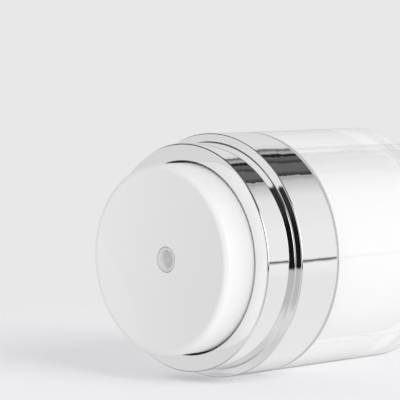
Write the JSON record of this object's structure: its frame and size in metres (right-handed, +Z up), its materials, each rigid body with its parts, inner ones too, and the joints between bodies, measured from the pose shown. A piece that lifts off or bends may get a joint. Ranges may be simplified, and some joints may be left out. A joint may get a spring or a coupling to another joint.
{
  "type": "airless pump bottle",
  "caption": "Short round airless cosmetic bottle: clear thick-walled shell over a white inner chamber, stepped chrome collar and a dished white press head with a centre outlet.",
  "frame": {"origin": "middle of the base, on the surface that the bottle stands on", "axes": "+Z up the bottle's axis, from the base to the press head; X and Y are free, since the bottle is round"},
  "size_m": [0.054, 0.054, 0.0674],
  "materials": {
    "clear_acrylic": "polished clear acrylic",
    "chrome_plating": "mirror chrome plating",
    "white_gloss": "satin-gloss moulded plastic",
    "white_plastic": "smooth moulded plastic",
    "natural_plastic": "milky uncoloured moulding",
    "soft_plastic": "waxy soft moulding",
    "clear_silicone": "translucent silicone",
    "gasket_foam": "fine closed-cell foam",
    "spring_steel": "drawn wire"
  },
  "bodies": {
    "bottle": {"outer_bottle": "clear_acrylic", "inner_bottle": "white_plastic", "shoulder_ring": "chrome_plating", "collar_ring": "chrome_plating", "snap_collar": "white_plastic", "neck_gasket": "gasket_foam", "pump_carrier": "white_plastic", "pump_cylinder": "natural_plastic", "cylinder_gasket": "gasket_foam", "valve_seat": "natural_plastic", "stem_guide": "natural_plastic", "return_spring": "spring_steel"},
    "head": {"press_head": "white_gloss", "head_core": "white_plastic", "nozzle_valve": "clear_silicone", "stem": "natural_plastic", "stem_tip": "natural_plastic"},
    "piston": {"pump_piston": "soft_plastic"},
    "inlet": {"inlet_valve": "clear_silicone"},
    "follower": {"follower_piston": "soft_plastic"}
  },
  "joints": [
    {"name": "head_press", "type": "slide", "parent": "bottle", "child": "head", "axis": [0, 0, -1], "range_m": [0, 0.0045], "stiffness_N_per_m": 900, "springref_m": -0.006, "deforming": ["return_spring"]},
    {"name": "piston_float", "type": "slide", "parent": "head", "child": "piston", "axis": [0, 0, 1], "range_m": [0, 0.001]},
    {"name": "inlet_lift", "type": "slide", "parent": "bottle", "child": "inlet", "axis": [0, 0, 1], "range_m": [0, 0.0008]},
    {"name": "follower_rise", "type": "slide", "parent": "bottle", "child": "follower", "axis": [0, 0, 1], "range_m": [0, 0.023]}
  ]
}
